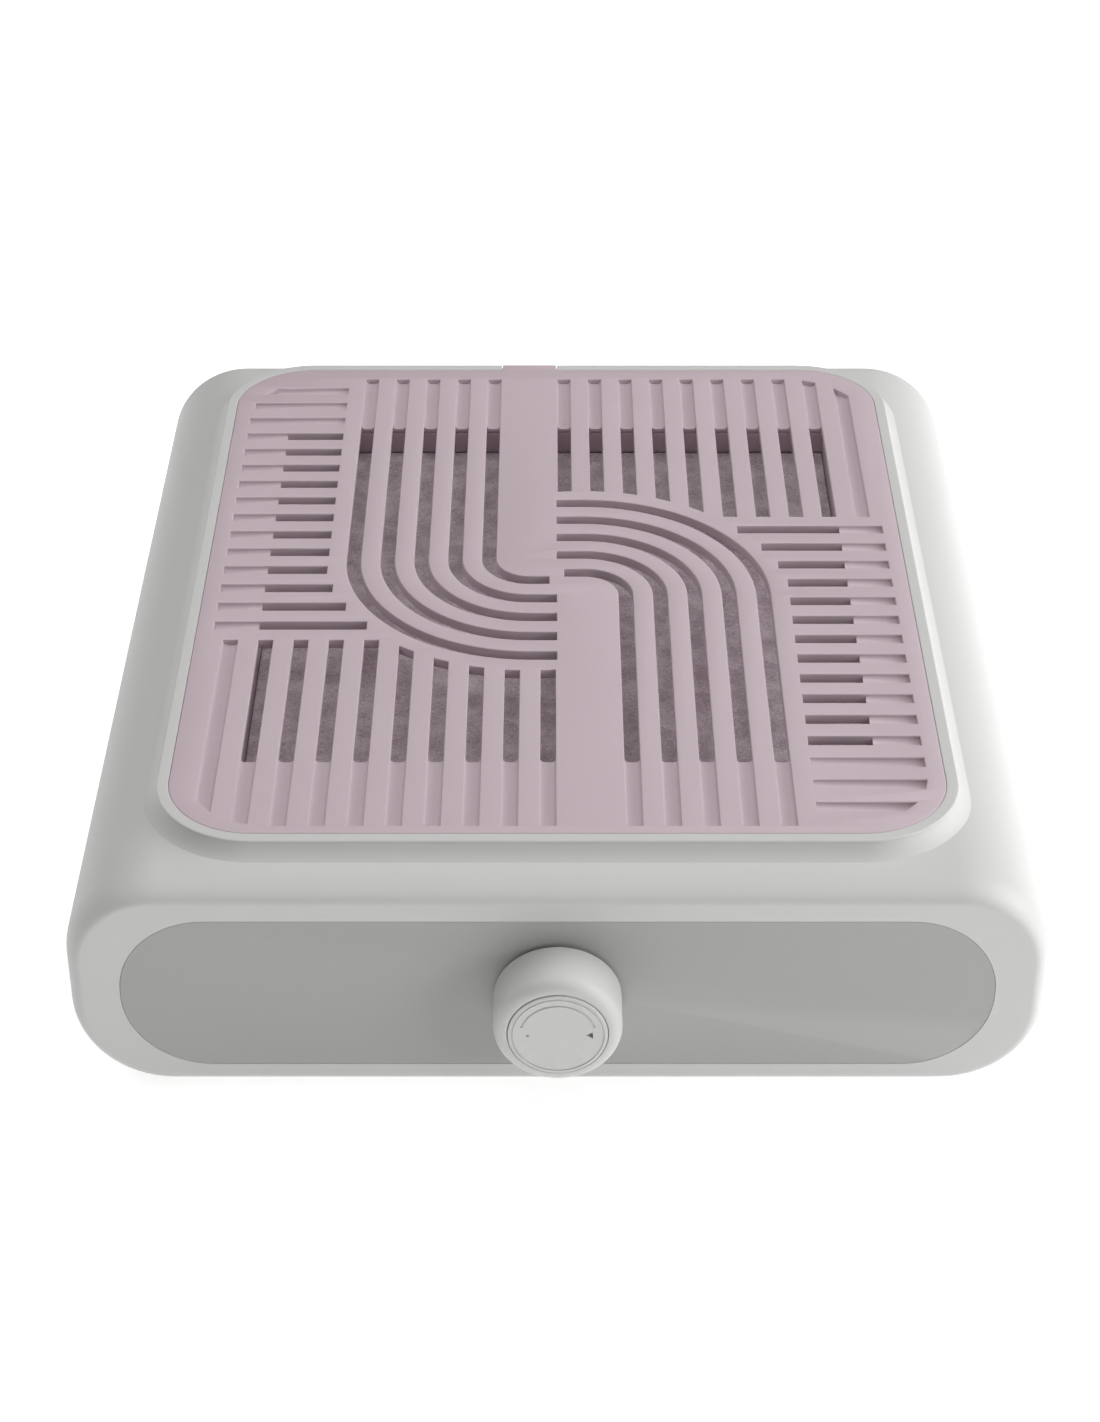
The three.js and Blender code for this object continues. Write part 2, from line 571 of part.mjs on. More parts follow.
const potentiometerNut = () => hexNut(5.1, 8, GAP - BODY_FRONT, 136.4, towardsFront);

const board = () => cut(
  box(-44, 44, BOARD_Y - 13, BOARD_Y + 13, BOARD_BOTTOM, BOARD_BOTTOM + 1.6),
  ...[-1, 1].map((side) => post(side * BOARD_SCREW_X, BOARD_Y, 5, 15, 1.8, 6)));
const BOARD_TOP = BOARD_BOTTOM + 1.6 + GAP;
const capacitor = () => turned(rod(5, BOARD_TOP, BOARD_TOP + 13), 14, upright(20, BOARD_Y - 3));

function heatSink() {
  const base = box(-26, -8, BOARD_Y - 9, BOARD_Y + 9, BOARD_TOP, BOARD_TOP + 2);
  const fins = bars(5).map((index) =>
    box(-26 + index * 4, -24.4 + index * 4, BOARD_Y - 9, BOARD_Y + 9, BOARD_TOP, BOARD_TOP + 10));
  return join(base, ...fins);
}

const boardConnector = () => box(-3, 9, BOARD_Y + 3, BOARD_Y + 11, BOARD_TOP, BOARD_TOP + 7);

// ---- power inlet and leads -----------------------------------------------------------------
const towardsBack = (geometry) => geometry.rotateX(-Math.PI / 2).translate(SOCKET_X, 0, SOCKET_Z);

function dcSocket() {
  const outer = BODY_BACK - 0.4;
  const profile = [[0, outer - 20], [5.6, outer - 20], [5.6, outer - 1], [6, outer],
    [2.9, outer], [2.9, outer - 10], [1, outer - 10], [1, outer - 1.5], [0, outer - 1]];
  return turned(profile, 16, towardsBack);
}

const socketNut = () => hexNut(6, 8.6, BODY_BACK - 6.4, BODY_BACK - 3.4, towardsBack);

function lead(points, radius) {
  const path = new THREE.CatmullRomCurve3(points.map(([x, y, z]) => new THREE.Vector3(x, y, z)));
  const section = new THREE.Shape();
  section.absarc(0, 0, radius, 0, Math.PI * 2);
  return solid(new THREE.ExtrudeGeometry(section,
    { steps: 24, extrudePath: path, curveSegments: 3, bevelEnabled: false }));
}

const powerLead = () => lead([[SOCKET_X, 128.6, SOCKET_Z], [SOCKET_X, 122, 20],
  [SOCKET_X - 3, 108, 9], [-82, 60, 7.4], [-82, 0, 7.4], [-82, -50, 7.4], [-78, -84, 8.5],
  [-64, -100, 11], [-52, -104, 13.5], [-44.6, -105, 13.5]], 1.4);
const motorLead = () => lead([[13, GRILLE_CENTRE - 20, 6.6], [14, -40, 6.6], [12, -70, 6.8],
  [8, -82, 8.8], [4, -87, 12.6], [3, -94.2, 15]], 1.1);

// ---- assembly -----------------------------------------------------------------------------
const collector = new THREE.Group();

function place(name, body, material) {
  const mesh = new THREE.Mesh(geometryOf(body), material);
  mesh.name = name;
  collector.add(mesh);
}

place('upper_housing', upperHousing(), SHELL_GREY);
place('base_plate', basePlate(), SHELL_GREY);
place('front_panel', frontPanel(), PANEL_GREY);
place('grille_panel', grillePanel(), LILAC);
place('filter_frame', filterFrame(), FRAME_MAUVE);
place('filter_fleece', filterFleece(), FLEECE_PINK);
place('filter_pleats', filterPleats(), FRAME_WHITE);
place('filter_gasket', filterGasket(), FOAM);
place('fan_deck', fanDeck(), BLACK_PLASTIC);
place('fan_housing', fanHousing(), BLACK_PLASTIC);
place('fan_impeller', impeller(), BLACK_PLASTIC);
place('rotor_cup', rotorCup(), STEEL);
place('magnet_ring', magnetRing(), RUBBER);
place('motor_shaft', motorShaft(), STEEL);
place('shaft_clip', shaftClip(), STEEL);
place('bearing_lower', bearing(10.4), STEEL);
place('bearing_upper', bearing(20.3), STEEL);
place('bearing_tube', bearingTube(), BLACK_PLASTIC);
place('motor_stator', statorCore(), COPPER);
place('knob_body', knobBody(), SHELL_GREY);
place('knob_cap', knobCap(), SHELL_GREY);
place('potentiometer_shaft', potentiometerShaft(), STEEL);
place('potentiometer', potentiometer(), STEEL);
place('potentiometer_nut', potentiometerNut(), STEEL);
place('control_board', board(), BOARD_GREEN);
place('capacitor', capacitor(), BLACK_PLASTIC);
place('heat_sink', heatSink(), STEEL);
place('board_connector', boardConnector(), FRAME_WHITE);
place('dc_socket', dcSocket(), BLACK_PLASTIC);
place('dc_socket_nut', socketNut(), STEEL);
place('power_lead', powerLead(), BLACK_PLASTIC);
place('motor_lead', motorLead(), BLACK_PLASTIC);
FOOT_PLACES.forEach((at, index) => place(`rubber_foot_${index + 1}`, foot(at), RUBBER));
BASE_SCREW_Y.flatMap((y) => [[-BASE_SCREW_X, y], [BASE_SCREW_X, y]])
  .forEach((at, index) => place(`base_screw_${index + 1}`, baseScrew(at), STEEL));
DECK_SCREW_PLACES.forEach(([x, y], index) =>
  place(`deck_screw_${index + 1}`, panScrew(x, y, DECK_BOTTOM - GAP - 1.8, true, 11), STEEL));
FAN_SCREW_PLACES.forEach(([x, y], index) =>
  place(`fan_screw_${index + 1}`, panScrew(x, y, SCROLL_BOTTOM + 2 + GAP, false, 5.2), STEEL));
[-1, 1].forEach((side, index) => place(`board_screw_${index + 1}`,
  panScrew(side * BOARD_SCREW_X, BOARD_Y, BOARD_TOP, false, 6), STEEL));

export default collector;
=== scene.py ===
"""Desk-top nail dust collector: pale moulded housing, lilac slotted hand rest, speed knob.

Metres, +Z up, front towards -Y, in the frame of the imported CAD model.
"""
import json
import math

import bmesh
import bpy
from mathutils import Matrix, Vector


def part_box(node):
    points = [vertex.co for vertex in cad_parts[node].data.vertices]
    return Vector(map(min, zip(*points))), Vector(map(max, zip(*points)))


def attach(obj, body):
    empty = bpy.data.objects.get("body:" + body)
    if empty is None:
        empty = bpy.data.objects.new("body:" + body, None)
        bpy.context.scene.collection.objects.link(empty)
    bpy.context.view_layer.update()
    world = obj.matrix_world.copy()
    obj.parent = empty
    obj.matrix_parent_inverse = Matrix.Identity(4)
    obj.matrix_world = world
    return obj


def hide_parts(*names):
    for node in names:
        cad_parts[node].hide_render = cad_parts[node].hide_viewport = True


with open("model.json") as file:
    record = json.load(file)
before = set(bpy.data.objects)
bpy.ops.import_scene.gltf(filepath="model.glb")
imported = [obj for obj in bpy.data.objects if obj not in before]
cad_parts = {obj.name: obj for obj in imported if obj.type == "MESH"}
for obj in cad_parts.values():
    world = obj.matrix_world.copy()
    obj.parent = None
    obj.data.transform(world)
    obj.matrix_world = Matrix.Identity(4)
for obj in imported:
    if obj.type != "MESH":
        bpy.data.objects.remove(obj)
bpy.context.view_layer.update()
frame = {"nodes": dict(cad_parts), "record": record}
NODES = frame["nodes"]

# ---- sizes, in metres, taken from the frame where it holds them ------------------------------
MM = 0.001
HOUSING_LOW, HOUSING_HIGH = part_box("upper_housing")
GRILLE_LOW, GRILLE_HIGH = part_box("grille_panel")
PANEL_LOW, PANEL_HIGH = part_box("front_panel")
KNOB_LOW, KNOB_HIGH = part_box("knob_body")
CAP_LOW, CAP_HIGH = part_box("knob_cap")
FLEECE_LOW, FLEECE_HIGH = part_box("filter_fleece")
BASE_LOW, BASE_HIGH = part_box("base_plate")

PITCH = 9.8 * MM
TABLE_TOP = HOUSING_HIGH.z
BODY_TOP = TABLE_TOP - 4.2 * MM
BODY_BOTTOM = HOUSING_LOW.z
BODY_HALF = HOUSING_HIGH.x
TOP_RADIUS = 24.6 * MM
BOTTOM_RADIUS = 25.8 * MM
WALL = 2.6 * MM
FRONT_WALL = 4.5 * MM
FRONT_ROLL = 9.4 * MM
FRONT_DRAW = 4.5 * MM
BACK_ROLL = 9.9 * MM
EXHAUST_LOW = 11 * MM
EXHAUST_HIGH = 33 * MM
EXHAUST_PITCH = 6 * MM
EXHAUST_HALF = 1.6 * MM
SOCKET_X = -78 * MM
SOCKET_Z = 22 * MM
STEM_HOLE = 5 * MM
PANEL_RADIUS = 22.4 * MM
TAB_WIDTH = 1.75 * PITCH
GRILLE_HALF = GRILLE_HIGH.x
GRILLE_FRONT = GRILLE_LOW.y
RIM = 3.1 * MM
GAP = 0.3 * MM
SNUG = 0.1 * MM
GRILLE_BACK = GRILLE_HIGH.y - RIM - GAP
GRILLE_CENTRE = GRILLE_FRONT + 122.4 * MM
GRILLE_RADIUS = 23 * MM
GRILLE_THICK = 3 * MM
WINDOW = (8.52, 9.14)  # half the open part of the grille, in pitches
WINDOW_X, WINDOW_Y = (side * PITCH for side in WINDOW)
WELL_X = WINDOW_X + 2.2 * MM
WELL_Y = WINDOW_Y + 2.2 * MM
KNOB_Z = (KNOB_LOW.z + KNOB_HIGH.z) / 2


# ---- modelling helpers -----------------------------------------------------------------------
def clear_selection():
    bpy.ops.object.select_all(action="DESELECT")


def pick(piece):
    clear_selection()
    piece.select_set(True)
    bpy.context.view_layer.objects.active = piece
    return piece


def settle(piece):
    """Puts the object's place, turn and size into its mesh."""
    pick(piece)
    bpy.ops.object.transform_apply(location=True, rotation=True, scale=True)
    return piece


def named(name):
    piece = bpy.context.active_object
    piece.name = name
    piece.data.name = name
    return settle(piece)


def select_faces(piece, wanted):
    mesh = bmesh.from_edit_mesh(piece.data)
    for face in mesh.faces:
        face.select = wanted(face)
    mesh.select_flush(True)
    mesh.select_flush(False)
    for face in mesh.faces:
        face.select_set(wanted(face))
    bmesh.update_edit_mesh(piece.data)


def flat_plate(name, x0, x1, y0, y1, z, radius, segments=18):
    """One rounded-corner face, looking up."""
    bpy.ops.mesh.primitive_plane_add(size=1, location=((x0 + x1) / 2, (y0 + y1) / 2, z))
    bpy.context.active_object.scale = (x1 - x0, y1 - y0, 1)
    piece = named(name)
    bpy.ops.object.mode_set(mode="EDIT")
    bpy.ops.mesh.select_all(action="SELECT")
    bpy.ops.mesh.bevel(offset=radius, segments=segments, affect="VERTICES")
    bpy.ops.object.mode_set(mode="OBJECT")
    return piece


def step(inward, outward):
    """Steps the selected face in by one length and out along its normal by another."""
    if abs(inward) < 1e-7:
        bpy.ops.mesh.extrude_region_shrink_fatten(
            TRANSFORM_OT_shrink_fatten={"value": outward})
    else:
        bpy.ops.mesh.inset(thickness=inward, depth=outward, use_even_offset=True)


def quarter(inward, outward, count):
    """The steps of a quarter turn, rounded over an edge."""
    angles = [math.pi / 2 * index / count for index in range(count + 1)]
    places = [(inward * (1 - math.cos(a)), outward * math.sin(a)) for a in angles]
    return [(b[0] - a[0], b[1] - a[1]) for a, b in zip(places, places[1:])]


def built_up(piece, steps):
    """Closes a flat plate underneath and raises its top through the steps."""
    pick(piece)
    bpy.ops.object.mode_set(mode="EDIT")
    bpy.ops.mesh.select_all(action="SELECT")
    bpy.ops.mesh.extrude_region_shrink_fatten(
        TRANSFORM_OT_shrink_fatten={"value": steps[0][1]})
    for inward, outward in steps[1:]:
        step(inward, outward)
    bpy.ops.mesh.select_all(action="SELECT")
    bpy.ops.mesh.normals_make_consistent(inside=False)
    bpy.ops.object.mode_set(mode="OBJECT")
    return piece


def apply_modifier(piece, kind, **settings):
    pick(piece)
    modifier = piece.modifiers.new(kind.title(), kind)
    for key, value in settings.items():
        setattr(modifier, key, value)
    bpy.ops.object.modifier_apply(modifier=modifier.name)
    return piece


def cut_with(piece, *tools, operation="DIFFERENCE"):
    for tool in tools:
        apply_modifier(piece, "BOOLEAN", object=tool, operation=operation, solver="EXACT")
        bpy.data.objects.remove(tool)
    return piece


def block(x0, x1, y0, y1, z0, z1):
    centre = ((x0 + x1) / 2, (y0 + y1) / 2, (z0 + z1) / 2)
    bpy.ops.mesh.primitive_cube_add(size=1, location=centre)
    bpy.context.active_object.scale = (x1 - x0, y1 - y0, z1 - z0)
    return named("cutter")


def drill(x, y, z, radius, length, axis="Z", sides=48):
    turn = {"Z": (0, 0, 0), "Y": (math.pi / 2, 0, 0)}[axis]
    bpy.ops.mesh.primitive_cylinder_add(
        vertices=sides, radius=radius, depth=length, location=(x, y, z), rotation=turn)
    return named("cutter")


def joined(piece, *others):
    pick(piece)
    for other in others:
        other.select_set(True)
    bpy.ops.object.join()
    return piece


def smooth(piece, angle=35, weighted=True):
    pick(piece)
    bpy.ops.object.shade_smooth_by_angle(angle=math.radians(angle))
    if weighted:
        apply_modifier(piece, "WEIGHTED_NORMAL", keep_sharp=True, weight=80)
    return piece


def soft_edges(piece, width, segments=2, angle=40):
    return apply_modifier(
        piece, "BEVEL", width=width, segments=segments, limit_method="ANGLE",
        angle_limit=math.radians(angle), miter_outer="MITER_ARC", harden_normals=False)


def stand_up(piece, y):
    """Turns a piece drawn flat (its Y as height) so that its top looks to the front at y."""
    piece.rotation_euler = (math.pi / 2, 0, 0)
    piece.location = (0, y, 0)
    return settle(piece)


def turned(name, profile, steps=96):
    """Spins a profile of (radius, forward) points about the knob's axis."""
    bpy.ops.mesh.primitive_plane_add(size=1)
    piece = named(name)
    mesh = piece.data
    mesh.clear_geometry()
    mesh.from_pydata([(radius, -forward, 0) for radius, forward in profile],
                     [(i, i + 1) for i in range(len(profile) - 1)], [])
    pick(piece)
    bpy.ops.object.mode_set(mode="EDIT")
    bpy.ops.mesh.select_all(action="SELECT")
    bpy.ops.mesh.spin(steps=steps, angle=2 * math.pi, center=(0, 0, 0), axis=(0, 1, 0))
    bpy.ops.mesh.select_all(action="SELECT")
    bpy.ops.mesh.remove_doubles(threshold=1e-6)
    bpy.ops.mesh.normals_make_consistent(inside=False)
    bpy.ops.object.mode_set(mode="OBJECT")
    piece.location = (0, 0, KNOB_Z)
    return settle(piece)


# ---- housing ---------------------------------------------------------------------------------
def body_form(name, inset, front_inset):
    """The soft box: its section across X drawn out along Y, with both ends rolled in."""
    half = BODY_HALF - inset
    low = BODY_BOTTOM + inset
    high = BODY_TOP - inset
    front = HOUSING_LOW.y + front_inset
    back = HOUSING_HIGH.y - inset
    middle = (low + high) / 2
    bpy.ops.mesh.primitive_plane_add(size=1, location=(0, middle, 0))
    bpy.context.active_object.scale = (2 * half, high - low, 1)
    piece = named(name)
    bpy.ops.object.mode_set(mode="EDIT")
    for upper, radius in ((True, TOP_RADIUS - inset), (False, BOTTOM_RADIUS - inset)):
        mesh = bmesh.from_edit_mesh(piece.data)
        for vert in mesh.verts:
            corner = abs(abs(vert.co.x) - half) < 1e-6
            end = high if upper else low
            vert.select_set(corner and abs(vert.co.y - end) < 1e-6)
        bmesh.update_edit_mesh(piece.data)
        bpy.ops.mesh.bevel(offset=radius, segments=26, affect="VERTICES")
    bpy.ops.object.mode_set(mode="OBJECT")
    stand_up(piece, front + FRONT_ROLL)
    bpy.ops.object.mode_set(mode="EDIT")
    bpy.ops.mesh.select_all(action="SELECT")
    # the face looks to the front; the straight run goes back from it
    run = back - BACK_ROLL - (front + FRONT_ROLL)
    bpy.ops.mesh.duplicate()
    bpy.ops.transform.translate(value=(0, run, 0))
    bpy.ops.mesh.flip_normals()
    for inward, outward in quarter(BACK_ROLL, BACK_ROLL, 10):
        step(inward, outward)
    select_faces(piece, lambda face: abs(face.calc_center_median().y - front - FRONT_ROLL) < 1e-5)
    for inward, outward in quarter(FRONT_DRAW, FRONT_ROLL, 10):
        step(inward, outward)
    bpy.ops.mesh.select_mode(type="EDGE")
    bpy.ops.mesh.select_non_manifold(extend=False, use_wire=False, use_multi_face=False,
                                     use_non_contiguous=False, use_verts=False)
    bpy.ops.mesh.bridge_edge_loops(number_cuts=24)
    bpy.ops.mesh.select_mode(type="VERT")
    bpy.ops.mesh.select_all(action="SELECT")
    bpy.ops.mesh.normals_make_consistent(inside=False)
    bpy.ops.object.mode_set(mode="OBJECT")
    return piece


def exhaust_cutter(x):
    piece = block(x - EXHAUST_HALF, x + EXHAUST_HALF, HOUSING_HIGH.y - 8 * MM,
                  HOUSING_HIGH.y + 5 * MM, EXHAUST_LOW, EXHAUST_HIGH)
    pick(piece)
    bpy.ops.object.mode_set(mode="EDIT")
    mesh = bmesh.from_edit_mesh(piece.data)
    for edge in mesh.edges:
        along = abs(edge.verts[0].co.y - edge.verts[1].co.y) > MM
        edge.select_set(along)
    bmesh.update_edit_mesh(piece.data)
    bpy.ops.mesh.bevel(offset=EXHAUST_HALF - 0.05 * MM, segments=5)
    bpy.ops.object.mode_set(mode="OBJECT")
    return piece


def housing_body():
    piece = body_form("housing_body", 0, 0)
    cut_with(piece, body_form("cutter", WALL, FRONT_WALL))
    slots = [exhaust_cutter(index * EXHAUST_PITCH) for index in range(-8, 9)]
    recess = flat_plate("cutter", PANEL_LOW.x - SNUG, PANEL_HIGH.x + SNUG, PANEL_LOW.z - SNUG,
                        PANEL_HIGH.z + SNUG, 0, PANEL_RADIUS + SNUG, 32)
    built_up(recess, [(0, 6 * MM)])
    stand_up(recess, PANEL_HIGH.y + GAP)
    window = flat_plate("cutter", -GRILLE_HALF + 4 * MM, GRILLE_HALF - 4 * MM,
                        GRILLE_FRONT + 4 * MM, GRILLE_BACK - 4 * MM, 50 * MM, 20 * MM)
    built_up(window, [(0, 40 * MM)])
    opening = flat_plate("cutter", BASE_LOW.x - GAP, BASE_HIGH.x + GAP, BASE_LOW.y - GAP,
                         BASE_HIGH.y + GAP, -5 * MM, 8.3 * MM)
    built_up(opening, [(0, 13 * MM)])
    socket = drill(SOCKET_X, HOUSING_HIGH.y, SOCKET_Z, 6.3 * MM, 30 * MM, "Y")
    stem = drill(0, HOUSING_LOW.y, KNOB_Z, STEM_HOLE, 40 * MM, "Y")
    cut_with(piece, joined(slots[0], *slots[1:]), recess, window, opening, socket, stem)
    return smooth(piece, 40)


def body_drop(x):
    """How far the shoulder has curved down at x from the body's flat top."""
    past = abs(x) - (BODY_HALF - TOP_RADIUS)
    if past <= 0:
        return 0
    return TOP_RADIUS - math.sqrt(max(TOP_RADIUS ** 2 - past ** 2, 0))


def housing_table():
    """The raised table with its rim, the grille's seat and the filter well."""
    reach = RIM + GAP
    wall = TABLE_TOP - BODY_TOP
    edge = 0.5 * MM
    bend = 8.2 * MM
    angles = [math.radians(28 + 5 * index) for index in range(8)]
    slope = [(bend * (math.sin(b) - math.sin(a)), bend * (math.cos(a) - math.cos(b)))
             for a, b in zip(angles, angles[1:])]
    run = sum(inward for inward, outward in slope)
    rise = sum(outward for inward, outward in slope)
    lip = 1.2 * MM
    outside = reach + run + lip
    piece = flat_plate("housing_table", -GRILLE_HALF - outside, GRILLE_HALF + outside,
                       GRILLE_FRONT - outside, GRILLE_BACK + outside, BODY_TOP - 3 * MM,
                       GRILLE_RADIUS + outside, 32)
    built_up(piece, [(0, 2.4 * MM), (lip, 0.6 * MM)] + slope
             + [(0, wall - rise - edge)]
             + quarter(edge, edge, 4)
             + [(RIM - edge - 0.15 * MM, 0), (0.15 * MM, -0.05 * MM), (0.12 * MM, -0.15 * MM),
                (0.001 * MM, -GRILLE_THICK - GAP + 0.2 * MM)])
    for vert in piece.data.vertices:
        share = (TABLE_TOP - 0.8 * MM - vert.co.z) / (wall - 0.8 * MM)
        vert.co.z -= body_drop(vert.co.x) * min(max(share, 0), 1)
    well = block(-WELL_X, WELL_X, GRILLE_CENTRE - WELL_Y, GRILLE_CENTRE + WELL_Y,
                 30 * MM, 90 * MM)
    notch = block(-TAB_WIDTH - GAP, GAP, GRILLE_BACK - MM, GRILLE_BACK + 20 * MM,
                  TABLE_TOP - 1.8 * MM, TABLE_TOP + 5 * MM)
    cut_with(piece, well, notch)
    walls = block(-WELL_X - 2 * MM, WELL_X + 2 * MM, GRILLE_CENTRE - WELL_Y - 2 * MM,
                  GRILLE_CENTRE + WELL_Y + 2 * MM, 42 * MM, BODY_TOP - MM)
    cut_with(walls, block(-WELL_X, WELL_X, GRILLE_CENTRE - WELL_Y, GRILLE_CENTRE + WELL_Y,
                          30 * MM, 90 * MM))
    joined(piece, walls)
    return smooth(piece, 30)


def front_panel():
    piece = flat_plate("front_plate", PANEL_LOW.x, PANEL_HIGH.x, PANEL_LOW.z, PANEL_HIGH.z, 0,
                       PANEL_RADIUS, 32)
    thick = PANEL_HIGH.y - PANEL_LOW.y
    built_up(piece, [(0, thick - 0.1 * MM)] + quarter(0.1 * MM, 0.1 * MM, 2))
    stand_up(piece, PANEL_HIGH.y)
    cut_with(piece, drill(0, PANEL_LOW.y, KNOB_Z, STEM_HOLE, 20 * MM, "Y"))
    return smooth(piece)


# ---- grille ----------------------------------------------------------------------------------
STRIP = 0.21  # half a slot, in pitches
TURN = (-0.8, 1.0)  # centre of the bends, in pitches
SLOT_END = 12.17
SLOT_SIDE = 9.79
CORNER = 2.3  # radius that clips the pattern's corners, in pitches
GROOVE = 1.7 * MM
GROOVE_BASE = 2.6 * MM


def arc(centre, radius, start, end, count):
    return [(centre[0] + radius * math.cos(a), centre[1] + radius * math.sin(a))
            for a in (start + (end - start) * i / count for i in range(count + 1))]


def bent_slot(index):
    """Comes down from the back, turns a quarter and ends beside the centre line."""
    cx, cy = TURN
    radius = index + 0.2
    end = -0.22 if index == 1 else 0
    return ([(cx - radius - STRIP, SLOT_END)]
            + arc(TURN, radius + STRIP, math.pi, 1.5 * math.pi, 20)
            + [(end, cy - radius - STRIP), (end, cy - radius + STRIP)]
            + arc(TURN, radius - STRIP, 1.5 * math.pi, math.pi, 20)
            + [(cx - radius + STRIP, SLOT_END)])


def rectangle(x0, x1, y0, y1):
    return [(x0, y0), (x1, y0), (x1, y1), (x0, y1)]


def clipped(end, side, at):
    """How far the pattern reaches towards `end` at a place on its other axis."""
    past = abs(at) - (side - CORNER)
    if past <= 0:
        return end
    return end - CORNER + math.sqrt(CORNER ** 2 - past ** 2)


def front_slot(index):
    """Stops short of the outermost bend, with an end cut along it."""
    x = -(index + 0.25)

    def top(at):
        span = 5.95 ** 2 - (at - TURN[0]) ** 2
        return min(-3.4, TURN[1] - math.sqrt(span)) if span > 0 else -3.4

    left, right = x - STRIP, x + STRIP
    return [(left, -clipped(SLOT_END, SLOT_SIDE, left)),
            (right, -clipped(SLOT_END, SLOT_SIDE, right)), (right, top(right)), (left, top(left))]


def side_slot(index):
    """Slots in from the side; the first few run on to the bend."""
    y = -2.65 + index
    right = (-5.43, -6.09, -6.53)[index] if index < 3 else -6.75
    low, high = y - STRIP, y + STRIP
    return [(-clipped(SLOT_SIDE, SLOT_END, low), low), (right, low), (right, high),
            (-clipped(SLOT_SIDE, SLOT_END, high), high)]


def turned_round(points):
    return [(-x, -y) for x, y in points]


def blind_parts():
    """The shallow grooves past the window, each with its direction and its open end."""
    grooves = []
    edge_x, edge_y = WINDOW
    for index in range(1, 6):
        x = TURN[0] - index - 0.2
        grooves.append((rectangle(x - STRIP, x + STRIP, edge_y, SLOT_END), "Y"))
    for index in range(10):
        low_left, low_right, *ends = front_slot(index)
        if index < 9:
            ends = [(low_right[0], -edge_y), (low_left[0], -edge_y)]
        grooves.append(([low_left, low_right, *ends], "Y"))
    for index in range(15):
        outline = side_slot(index)
        if index < 12:
            outline = [outline[0], (-edge_x, outline[0][1]), (-edge_x, outline[3][1]), outline[3]]
        grooves.append((outline, "X"))
    return grooves


def plate_outline():
    """The grille's edge, with the lift tab standing out at the back."""
    x, y0, y1 = GRILLE_HALF + SNUG, GRILLE_FRONT - SNUG, GRILLE_BACK + SNUG
    r = GRILLE_RADIUS
    half = math.pi / 2
    tab = GRILLE_HIGH.y
    return (arc((x - r, y0 + r), r, -half, 0, 24) + arc((x - r, y1 - r), r, 0, half, 24)
            + [(0, y1), (0, tab), (-TAB_WIDTH, tab), (-TAB_WIDTH, y1)]
            + arc((-x + r, y1 - r), r, half, math.pi, 24)
            + arc((-x + r, y0 + r), r, math.pi, 3 * half, 24))


def filled(name, outlines, z0, z1, bevel):
    """A flat piece between two heights with holes, and a small round along all its edges."""
    curve = bpy.data.curves.new(name, "CURVE")
    curve.dimensions = "2D"
    curve.fill_mode = "BOTH"
    curve.extrude = (z1 - z0) / 2 - bevel
    curve.bevel_depth = bevel
    curve.bevel_resolution = 2
    curve.offset = -bevel
    for outline in outlines:
        spline = curve.splines.new("POLY")
        spline.points.add(len(outline) - 1)
        for point, (x, y) in zip(spline.points, outline):
            point.co = (x, y, 0, 1)
        spline.use_cyclic_u = True
    piece = bpy.data.objects.new(name, curve)
    bpy.context.scene.collection.objects.link(piece)
    piece.location = (0, 0, (z0 + z1) / 2)
    pick(piece)
    bpy.ops.object.convert(target="MESH")
    piece = bpy.context.active_object
    pick(piece)
    bpy.ops.object.mode_set(mode="EDIT")
    bpy.ops.mesh.select_all(action="SELECT")
    bpy.ops.mesh.remove_doubles(threshold=2e-6)
    bpy.ops.object.mode_set(mode="OBJECT")
    return settle(piece)


def on_plate(points):
    return [(x * PITCH, y * PITCH + GRILLE_CENTRE) for x, y in points]


def trough(outline, direction):
    """A filler that makes the shallow end of a slot: flat floor between wide round feet."""
    middle = sum((Vector(point) for point in outline), Vector((0, 0))) / 4
    (ax, ay), (bx, by), (cx, cy), (dx, dy) = (
        (x + math.copysign(SNUG, x - middle.x), y + math.copysign(SNUG, y - middle.y))
        for x, y in outline)
    half = [(0.0, 0.3), (0.03, 0.52), (0.08, 0.72), (0.15, 0.87), (0.23, 0.96), (0.32, 1.0)]
    section = half + [(1 - t, depth) for t, depth in reversed(half)]
    rows = len(section) - 1
    verts = []
    for t, depth in section:
        if direction == "Y":
            low = (ax + (bx - ax) * t, ay + (by - ay) * t, TABLE_TOP - GROOVE * depth)
            high = (dx + (cx - dx) * t, dy + (cy - dy) * t, TABLE_TOP - GROOVE * depth)
        else:
            low = (ax + (dx - ax) * t, ay + (dy - ay) * t, TABLE_TOP - 1.15 * GROOVE * depth)
            high = (bx + (cx - bx) * t, by + (cy - by) * t, TABLE_TOP - 0.75 * GROOVE * depth)
        verts += [low, high]
    base = TABLE_TOP - GROOVE_BASE
    count = rows + 1
    verts += [(x, y, base) for x, y, z in verts]
    faces = []
    for index in range(rows):
        a, b = 2 * index, 2 * index + 2
        faces.append((a, b, b + 1, a + 1))
        faces.append((a + 2 * count, a + 1 + 2 * count, b + 1 + 2 * count, b + 2 * count))
    low_rim = [2 * i for i in range(count)]
    high_rim = [2 * i + 1 for i in range(count)]
    for rim in (low_rim, high_rim):
        faces.append(tuple(rim + [i + 2 * count for i in reversed(rim)]))
    for side in ((low_rim[0], high_rim[0]), (low_rim[-1], high_rim[-1])):
        faces.append((side[0], side[1], side[1] + 2 * count, side[0] + 2 * count))
    return verts, faces


